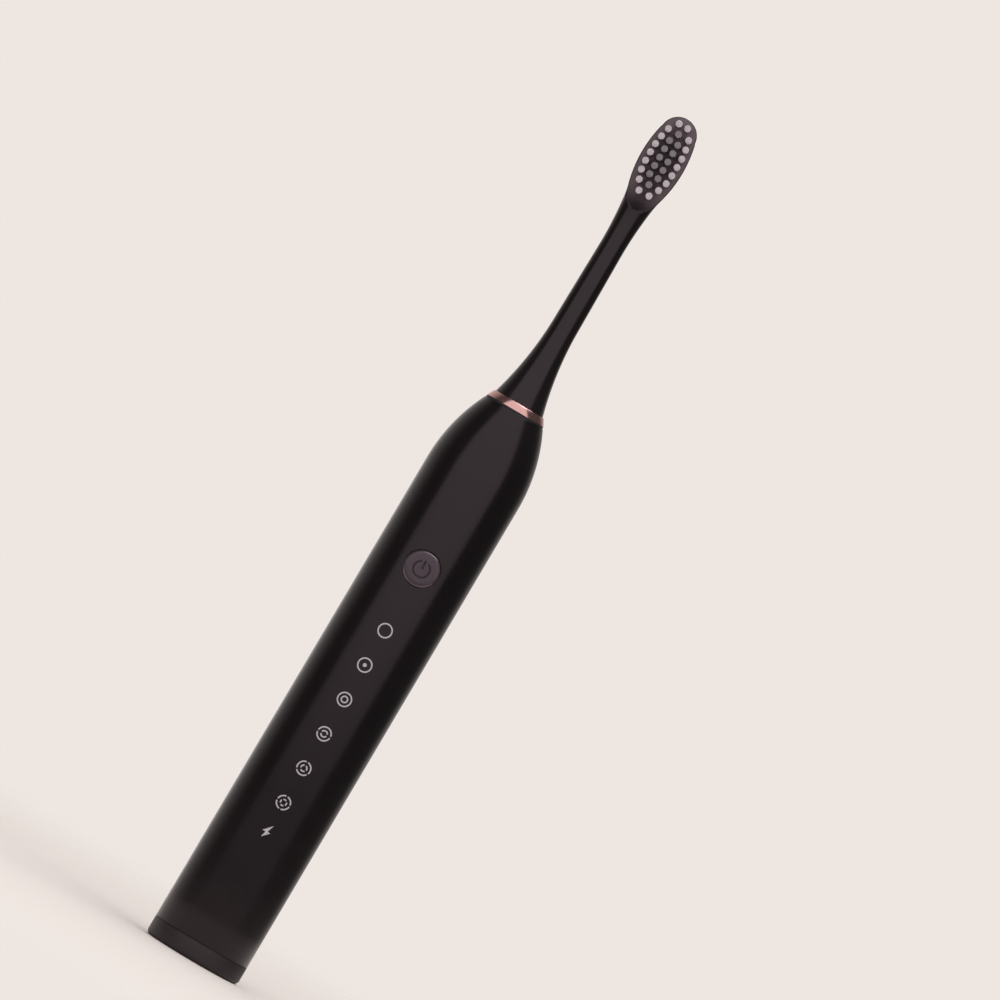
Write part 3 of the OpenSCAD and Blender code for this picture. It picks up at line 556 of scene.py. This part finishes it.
# Mix from the plastic's own near-black colour below the scoop to the face's painted-light colour above it.
painted_face_light_mix = nodes.new("ShaderNodeMix")
painted_face_light_mix.data_type = "RGBA"
painted_face_light_mix.inputs["A"].default_value = (0.009, 0.0075, 0.008, 1)
links.new(place.outputs["Object"], parts.inputs[0])
links.new(parts.outputs["Z"], fade.inputs["Value"])
links.new(fade.outputs[0], painted_face_light_mix.inputs["Factor"])
links.new(shader.inputs["Base Color"].links[0].from_socket, painted_face_light_mix.inputs["B"])
links.new(painted_face_light_mix.outputs["Result"], shader.inputs["Base Color"])


def neck_r(z):
    """Radius of the neck at a height."""
    if z < FLARE_TOP:
        return NECK_R + FLARE_R - math.sqrt(FLARE_R ** 2 - (FLARE_TOP - z) ** 2)
    if z < WAIST_Z:
        return NECK_R + (WAIST_R - NECK_R) * (z - FLARE_TOP) / (WAIST_Z - FLARE_TOP)
    return WAIST_R + UPPER_R - math.sqrt(UPPER_R ** 2 - (z - WAIST_Z) ** 2)


def half_width(z):
    """Half width of the head at a height: the neck, then the plate's curved sides, then its round tip."""
    side = PLATE_HALF - PLATE_SIDE_R + math.sqrt(max(PLATE_SIDE_R ** 2 - (z - PLATE_WIDE_Z) ** 2, 0))
    tip = math.sqrt(max(TIP_R ** 2 - (z - TIP_Z + TIP_R) ** 2, 0))
    if z > TIP_Z - TIP_R:
        return min(side, tip)
    return side if z > PLATE_FOOT else max(side, neck_r(z))


def ease(z, low, high):
    """Rises smoothly from 0 to 1 between two heights."""
    t = min(max((z - low) / (high - low), 0), 1)
    return t * t * (3 - 2 * t)


def back_depth(z):
    """How far the back lies behind the axis at a height."""
    flat = neck_r(z) + (PLATE_BACK - neck_r(z)) * ease(z, WAIST_Z - 4, SCOOP_Z + 4)
    return flat - 1.4 * ease(z, TIP_Z - 13, TIP_Z + 0.5)


def section(z, angle):
    """A point on the head's outline at a height: round in the neck, squarer in front and domed behind in
    the plate. At the tip the widest line moves forward, and the back curls over to it."""
    plate = ease(z, SCOOP_Z - 4, SCOOP_Z + 2.5)
    curl = min(max((z - TIP_Z) / TIP_CURL + 1, 0), 1)
    closing = math.sqrt(1 - curl * curl)
    middle = TIP_MIDDLE * (closing - 1)
    c, s = math.cos(angle), math.sin(angle)
    power = 2 + (4.5 if s < 0 else 0.5) * plate
    depth = back_depth(z) * closing if s >= 0 else neck_r(z) + (PLATE_FRONT - neck_r(z)) * plate + middle
    x = half_width(z) * math.copysign(abs(c) ** (2 / power), c)
    y = middle + depth * math.copysign(abs(s) ** (2 / power), s)
    return Vector((x * MM, y * MM, z * MM))


heights = [RING_TOP + (FLARE_TOP - RING_TOP) * (i / 24) ** 1.2 for i in range(25)]
heights += [FLARE_TOP + (WAIST_Z - FLARE_TOP) * i / 8 for i in range(1, 9)]
heights += [WAIST_Z + (TIP_Z - TIP_R - WAIST_Z) * i / 36 for i in range(1, 37)]
heights += [TIP_Z - TIP_R + TIP_R * math.sin(math.radians(90 * i / 18)) * 0.9995 for i in range(1, 19)]
RIM_STEPS = 112
head = bmesh.new()
order = head.verts.layers.int.new("order")
bmesh.ops.create_circle(head, cap_ends=False, segments=RIM_STEPS, radius=1 * MM)
angles = [math.tau * (i + 0.5) / RIM_STEPS for i in range(RIM_STEPS)]
around = sorted(head.verts, key=lambda v: math.atan2(v.co.y, v.co.x) % math.tau)
for i, v in enumerate(around):
    v[order] = i
    v.co = section(heights[0], angles[i])
bottom_edges = head.edges[:]
edges = bottom_edges
for z in heights[1:]:
    grown = bmesh.ops.extrude_edge_only(head, edges=edges)["geom"]
    fresh = {v for v in grown if isinstance(v, bmesh.types.BMVert)}
    edges = [e for e in grown if isinstance(e, bmesh.types.BMEdge) and all(v in fresh for v in e.verts)]
    for v in fresh:
        v.co = section(z, angles[v[order]])
bmesh.ops.edgeloop_fill(head, edges=edges)
bmesh.ops.edgeloop_fill(head, edges=bottom_edges)
bmesh.ops.recalc_face_normals(head, faces=head.faces)

SCOOP_REACH = 12
scoop = bmesh.new()
profile = [(-PLATE_FACE - SCOOP_REACH, TIP_Z + 2), (-PLATE_FACE, TIP_Z + 2)]
profile += [(-PLATE_FACE - SCOOP_R + SCOOP_R * math.cos(a), SCOOP_Z - SCOOP_R * math.sin(a))
            for a in [math.radians(90 * i / 16) for i in range(17)]]
profile += [(-PLATE_FACE - SCOOP_REACH, SCOOP_Z - SCOOP_R)]
slab = scoop.faces.new([scoop.verts.new((-SCOOP_REACH * MM, y * MM, z * MM)) for y, z in profile])
grown = bmesh.ops.extrude_face_region(scoop, geom=[slab])
far_side = [v for v in grown["geom"] if isinstance(v, bmesh.types.BMVert)]
bmesh.ops.translate(scoop, verts=far_side, vec=(2 * SCOOP_REACH * MM, 0, 0))
bmesh.ops.recalc_face_normals(scoop, faces=scoop.faces)
cut(head, scoop)


def on_face_rim(edge):
    """Edges around the flat face and its scoop, where the cut met the rounded sides."""
    if len(edge.link_faces) != 2:
        return False
    ends = [v.co for v in edge.verts]
    if not all(p.z > (SCOOP_Z - SCOOP_R - 0.5) * MM and p.y < -(PLATE_FACE - 0.01) * MM for p in ends):
        return False
    return edge.calc_face_angle() > math.radians(14)


round_edges(head, on_face_rim, 0.3, 3)

outline = [(0, RING_TOP - 1), (HOLLOW_MOUTH_R, RING_TOP - 1), (HOLLOW_MOUTH_R, RING_TOP + 0.1),
           (HOLLOW_R, RING_TOP + 0.6), (HOLLOW_R, HOLLOW_TOP), (0, HOLLOW_TOP)]
cut(head, lathe(outline, closed=False, steps=48))

HOLE_R, HOLE_DEPTH = 0.88, 2.2
OUTER_SHARES = [0.21, 0.50, 0.60, 0.655, 0.66, 0.655, 0.615, 0.48, 0.25]
ROW_PITCH, INNER_X = 2.43, 1.2
ROWS = [TIP_Z - 2.3 - ROW_PITCH * i for i in range(9)]
outer_places = [(side * share * PLATE_HALF, z) for share, z in zip(OUTER_SHARES, ROWS) for side in (-1, 1)]
inner_places = [(x, z) for i, z in enumerate(ROWS[1:8])
                for x in ((0,) if i in (0, 6) else (-INNER_X, INNER_X))]
holes = bmesh.new()
for x, z in outer_places + inner_places:
    rod_forward(holes, x, z, HOLE_R, PLATE_FACE - HOLE_DEPTH, PLATE_FACE + 1, 32)
cut(head, holes)
# The flat face and the lower part of the scoop take the face material, with its painted light.
for face in head.faces:
    middle = face.calc_center_median() / MM
    scooped = abs(math.hypot(middle.y + PLATE_FACE + SCOOP_R, middle.z - SCOOP_Z) - SCOOP_R) < 0.05
    flat = abs(middle.y + PLATE_FACE) < 0.05 and middle.z > SCOOP_Z - 0.5 and face.normal.y < -0.95
    if flat or scooped and middle.z < SCOOP_Z and middle.y < -PLATE_FACE + 0.01:
        face.material_index = 1
head_moulding = add_piece("head_moulding", head, head_plastic, "brush_head", ["head_body"])
head_moulding.data.materials.append(head_face)

# --------------------------------------------------------------------------------------------------
# Tuft anchors. A small stamped brass blade, driven across the bottom of each hole, holds the fold of the
# bristles.
brass = moulded("anchor_brass", (0.62, 0.46, 0.18), (0.76, 0.58, 0.28), (0.2, 0.3), grain_mm=0.3,
                bump_mm=0.002, metallic=1.0)
BLADE = Matrix.Diagonal((1.7 * MM, 0.56 * MM, 0.3 * MM, 1))
BLADE_DEPTH = 1.9
blades = bmesh.new()
for x, z in outer_places + inner_places:
    middle = Matrix.Translation((x * MM, -(PLATE_FACE - BLADE_DEPTH) * MM, z * MM))
    bmesh.ops.create_cube(blades, size=1, matrix=middle @ BLADE)
add_piece("anchor_blades", blades, brass, "brush_head", ["tuft_anchors"])

# --------------------------------------------------------------------------------------------------
# Tufts. Each is a bundle of nylon filaments with rounded ends, folded in half and pressed into its hole.
# The outer tufts are pale and the inner ones are darker.
FILAMENT_R = 0.096
FILAMENT_STEP = 0.178
FILAMENT_RINGS = 4
ROOT_DEPTH = 1.6
BRISTLE_TOP = -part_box("outer_tufts")[0].y / MM


def nylon(name, dark, light):
    """Filament nylon, each filament slightly different in tone."""
    material = bpy.data.materials.new(name)
    material.use_nodes = True
    nodes, links = material.node_tree.nodes, material.node_tree.links
    shader = nodes["Principled BSDF"]
    shader.inputs["Roughness"].default_value = 0.38
    place = nodes.new("ShaderNodeTexCoord")
    squeeze = nodes.new("ShaderNodeMapping")
    squeeze.inputs["Scale"].default_value = (1, 0.02, 1)
    noise = nodes.new("ShaderNodeTexNoise")
    noise.inputs["Scale"].default_value = 6000
    noise.inputs["Detail"].default_value = 1
    mix = nodes.new("ShaderNodeMix")
    mix.data_type = "RGBA"
    mix.inputs["A"].default_value = (*dark, 1)
    mix.inputs["B"].default_value = (*light, 1)
    links.new(place.outputs["Object"], squeeze.inputs["Vector"])
    links.new(squeeze.outputs[0], noise.inputs["Vector"])
    links.new(noise.outputs["Fac"], mix.inputs["Factor"])
    links.new(mix.outputs["Result"], shader.inputs["Base Color"])
    return material


def one_filament():
    """A straight filament of unit length along -Y with a rounded tip, as a mesh."""
    bm = bmesh.new()
    turned = Matrix.Rotation(math.radians(90), 4, "X")
    bmesh.ops.create_circle(bm, cap_ends=False, segments=8, radius=FILAMENT_R * MM, matrix=turned)
    root = bm.edges[:]
    edges, size = root, 1.0
    for share, width in ((0.5, 1.0), (0.993, 1.0), (0.998, 0.8), (1.0, 0.5)):
        grown = bmesh.ops.extrude_edge_only(bm, edges=edges)["geom"]
        ring = [v for v in grown if isinstance(v, bmesh.types.BMVert)]
        edges = [e for e in grown if isinstance(e, bmesh.types.BMEdge) and all(v in ring for v in e.verts)]
        for v in ring:
            v.co = Vector((v.co.x * width / size, -share, v.co.z * width / size))
        size = width
    for end in (root, edges):
        bmesh.ops.edgeloop_fill(bm, edges=end)
    bmesh.ops.recalc_face_normals(bm, faces=bm.faces)
    mesh = bpy.data.meshes.new("filament")
    bm.to_mesh(mesh)
    bm.free()
    return mesh


def one_tuft(filament, chance):
    """A bundle of filaments in rings around a middle one, splayed a little to their ends, as a mesh."""
    bm = bmesh.new()
    spots = [(0, 0)] + [(ring * FILAMENT_STEP, math.tau * (i + 0.5 * (ring % 2)) / (6 * ring))
                        for ring in range(1, FILAMENT_RINGS + 1) for i in range(6 * ring)]
    for radius, turn in spots:
        radius += chance.uniform(-0.012, 0.012)
        length = (BRISTLE_TOP - PLATE_FACE + ROOT_DEPTH - chance.uniform(0, 0.2)) * MM
        out = Vector((math.cos(turn), 0, math.sin(turn))) * radius * MM
        lean = Vector((chance.uniform(-0.03, 0.03), 0, chance.uniform(-0.03, 0.03))) * MM
        already = len(bm.verts)
        bm.from_mesh(filament)
        bm.verts.ensure_lookup_table()
        for v in bm.verts[already:]:
            share = -v.co.y
            v.co = Vector((v.co.x, -length * share, v.co.z)) + out * (1 + 0.05 * share) + lean * share
    mesh = bpy.data.meshes.new("tuft")
    bm.to_mesh(mesh)
    bm.free()
    return mesh


for name, places, tones, slot in (
        ("outer_bristles", outer_places, ((0.93, 0.86, 0.90), (1.0, 0.93, 0.97)), "bristle_light"),
        ("inner_bristles", inner_places, ((0.40, 0.36, 0.385), (0.58, 0.53, 0.56)), "bristle_dark")):
    chance = random.Random(name)
    filament = one_filament()
    kinds = [one_tuft(filament, chance) for _ in range(4)]
    bristles = bmesh.new()
    for x, z in places:
        tuft = bmesh.new()
        tuft.from_mesh(chance.choice(kinds))
        tuft.transform(Matrix.Translation((x * MM, -(PLATE_FACE - ROOT_DEPTH) * MM, z * MM))
                       @ Matrix.Rotation(chance.uniform(0, math.tau), 4, "Y"))
        placed = bpy.data.meshes.new("placed")
        tuft.to_mesh(placed)
        tuft.free()
        bristles.from_mesh(placed)
        bpy.data.meshes.remove(placed)
    for mesh in kinds + [filament]:
        bpy.data.meshes.remove(mesh)
    node = name.replace("bristles", "tufts")
    add_piece(name, bristles, nylon(name, *tones), "brush_head", [node], sharp=50)

# --------------------------------------------------------------------------------------------------
# Drive shaft. A ground steel rod with a chamfered end, pressed into the rotor. A flat along its back keys
# the brush head, which slides off upwards.
SHAFT_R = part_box("drive_shaft")[1].x / MM
SHAFT_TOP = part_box("drive_shaft")[1].z / MM
SHAFT_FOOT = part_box("drive_shaft")[0].z / MM
FLAT_DEPTH, FLAT_FOOT_Z, FLAT_REACH = 0.5, HEAD_Z + 6, 30
shaft_steel = moulded("shaft_steel", (0.52, 0.52, 0.53), (0.66, 0.66, 0.67), (0.16, 0.26), grain_mm=0.4,
                      bump_mm=0.001, metallic=1.0)
outline = [(0, SHAFT_FOOT), (SHAFT_R - 0.2, SHAFT_FOOT), (SHAFT_R, SHAFT_FOOT + 0.2),
           (SHAFT_R, SHAFT_TOP - 0.5), (SHAFT_R - 0.45, SHAFT_TOP), (0, SHAFT_TOP)]
shaft = lathe(outline, closed=False, steps=64)
ground_off = bmesh.new()
middle = Matrix.Translation((0, (SHAFT_R - FLAT_DEPTH + 2) * MM, (FLAT_FOOT_Z + FLAT_REACH / 2) * MM))
block = Matrix.Diagonal((8 * MM, 4 * MM, FLAT_REACH * MM, 1))
bmesh.ops.create_cube(ground_off, size=1, matrix=middle @ block)
cut(shaft, ground_off)
add_piece("shaft_steel_rod", shaft, shaft_steel, "drive", ["drive_shaft"])

# --------------------------------------------------------------------------------------------------
# Shaft seal. A soft black rubber bellows, seated in the nose, that closes it around the shaft. Its flange
# fills the gap under the head.
SEAL_BORE_R, SEAL_R = 1.73, RING_FOOT_R
seal_rubber = moulded("seal_rubber", (0.012, 0.012, 0.012), (0.022, 0.022, 0.022), (0.5, 0.65),
                      grain_mm=0.3, bump_mm=0.006)
outline = [(SEAL_BORE_R, NOSE_Z - 2.6), (SEAL_HOLE_R, NOSE_Z - NOSE_WALL), (SEAL_HOLE_R, NOSE_Z),
           (SEAL_R - 0.1, NOSE_Z), (SEAL_R, NOSE_Z + 0.1), (SEAL_R, NOSE_Z + 0.4),
           (SEAL_R - 0.06, NOSE_Z + 0.46), (3.5, NOSE_Z + 0.46)]
outline += [(2.95, NOSE_Z + 0.55), (2.75, NOSE_Z + 0.8), (2.5, NOSE_Z + 1.4), (2.25, NOSE_Z + 1.8),
            (2.05, NOSE_Z + 1.9), (1.85, NOSE_Z + 1.9), (SEAL_BORE_R, NOSE_Z + 1.75)]
add_piece("seal_bellows", lathe(outline, steps=64), seal_rubber, "handle", ["shaft_seal"])

# --------------------------------------------------------------------------------------------------
# Inner pieces. The works inside the shell: charging coil, cell, board, switch, motor and the head's insert.
# They are mouldings, stamped and sintered metal, wound copper and rubber, and each finish is shared by the
# pieces of one material. Their shapes stay as the frame gives them.
inner_finishes = {
    "white_plastic": moulded("white_plastic", (0.70, 0.70, 0.68), (0.80, 0.80, 0.78), (0.4, 0.5), 0.3),
    "socket_plastic": moulded("socket_plastic", (0.76, 0.75, 0.70), (0.85, 0.84, 0.80), (0.3, 0.4),
                              grain_mm=0.3, bump_mm=0.003),
    "clear_plastic": moulded("clear_plastic", (0.70, 0.76, 0.80), (0.80, 0.86, 0.90), (0.08, 0.14),
                             grain_mm=0.5, bump_mm=0.001),
    "steel": moulded("sheet_steel", (0.46, 0.46, 0.47), (0.60, 0.60, 0.61), (0.25, 0.38),
                     grain_mm=0.4, bump_mm=0.003, metallic=1.0),
    "spring_steel": moulded("spring_steel", (0.60, 0.60, 0.62), (0.72, 0.72, 0.74), (0.18, 0.28),
                            grain_mm=0.4, bump_mm=0.002, metallic=1.0),
    "magnet": moulded("magnet_nickel", (0.30, 0.30, 0.33), (0.42, 0.42, 0.45), (0.2, 0.3),
                      grain_mm=0.5, bump_mm=0.002, metallic=1.0),
    "laminated_iron": moulded("laminated_iron", (0.20, 0.20, 0.21), (0.30, 0.30, 0.31), (0.4, 0.55),
                              grain_mm=0.35, bump_mm=0.01, metallic=0.9),
    "ferrite": moulded("ferrite", (0.05, 0.05, 0.055), (0.09, 0.09, 0.095), (0.5, 0.65),
                       grain_mm=0.25, bump_mm=0.01),
    "copper": moulded("copper_winding", (0.60, 0.26, 0.11), (0.76, 0.36, 0.18), (0.22, 0.34),
                      grain_mm=0.12, bump_mm=0.02, metallic=0.9),
    "sintered_bronze": moulded("sintered_bronze", (0.42, 0.29, 0.13), (0.58, 0.42, 0.20), (0.35, 0.5),
                               grain_mm=0.15, bump_mm=0.01, metallic=0.9),
    "rubber_black": seal_rubber,
    "board_green": moulded("solder_mask", (0.02, 0.13, 0.05), (0.04, 0.20, 0.08), (0.2, 0.32),
                           grain_mm=0.4, coat=0.3),
    "chip_black": moulded("chip_epoxy", (0.012, 0.012, 0.012), (0.022, 0.022, 0.022), (0.45, 0.6),
                          grain_mm=0.15, bump_mm=0.006),
    "led_white": moulded("led_lens", (0.80, 0.80, 0.72), (0.90, 0.90, 0.84), (0.1, 0.2),
                         grain_mm=0.3, bump_mm=0.001),
    "led_amber": moulded("amber_lens", (0.75, 0.36, 0.05), (0.88, 0.48, 0.09), (0.1, 0.2),
                         grain_mm=0.3, bump_mm=0.001),
    "battery_wrap": moulded("battery_sleeve", (0.03, 0.10, 0.36), (0.05, 0.15, 0.46), (0.15, 0.25), 0.6),
    "foam": moulded("foam", (0.03, 0.03, 0.03), (0.06, 0.06, 0.06), (0.8, 0.95), grain_mm=0.4, bump_mm=0.08),
}
slot_of = {part["node"]: part["material_slot"] for part in frame["record"]["subparts"]}
for name, node in frame["nodes"].items():
    finish = inner_finishes.get(slot_of[name])
    if finish:
        node.data.materials.clear()
        node.data.materials.append(finish)
